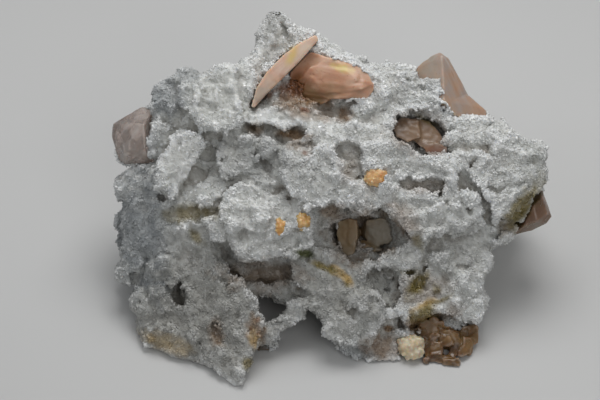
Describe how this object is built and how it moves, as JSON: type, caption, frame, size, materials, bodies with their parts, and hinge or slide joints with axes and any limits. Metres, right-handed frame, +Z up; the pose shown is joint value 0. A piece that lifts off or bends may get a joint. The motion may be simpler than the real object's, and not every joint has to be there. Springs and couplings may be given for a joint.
{
  "type": "mineral specimen",
  "caption": "Sparkling white chalcedony druse with peach stilbite crystals, a craggy cabinet mineral specimen that stands on its flat base.",
  "frame": {"origin": "centre of the bounding box, on the plane of the flat base", "axes": "+Z up; +X to the right as seen from the drusy face, along the longest side; the drusy face looks towards -Y and up"},
  "size_m": [0.1268, 0.0896, 0.0701],
  "materials": {
    "chalcedony": "sugary, sparkling druse",
    "peach_blade": "pearly, translucent",
    "peach_fan": "pearly, translucent",
    "peach_crystal": "silky, translucent",
    "clear_crystal": "glassy",
    "brown_crystal": "glassy",
    "hollow_crystals": "silky",
    "pocket_crystals": "silky",
    "brown_cluster": "glassy",
    "grey_crystal": "glassy",
    "orange_balls": "grainy",
    "cream_balls": "grainy"
  },
  "bodies": {
    "root": {"chalcedony_matrix": "chalcedony", "stilbite_blade": "peach_blade", "stilbite_fan": "peach_fan", "stilbite_crystal_top_right": "peach_crystal", "stilbite_crystal_left": "clear_crystal", "stilbite_crystal_right": "brown_crystal", "stilbite_crystals_in_hollow": "hollow_crystals", "stilbite_crystals_in_pocket": "pocket_crystals", "stilbite_cluster_lower_right": "brown_cluster", "glassy_disc_crystal": "grey_crystal", "orange_ball_right": "orange_balls", "orange_ball_left": "orange_balls", "orange_ball_middle": "orange_balls", "cream_cluster": "cream_balls"}
  },
  "joints": []
}
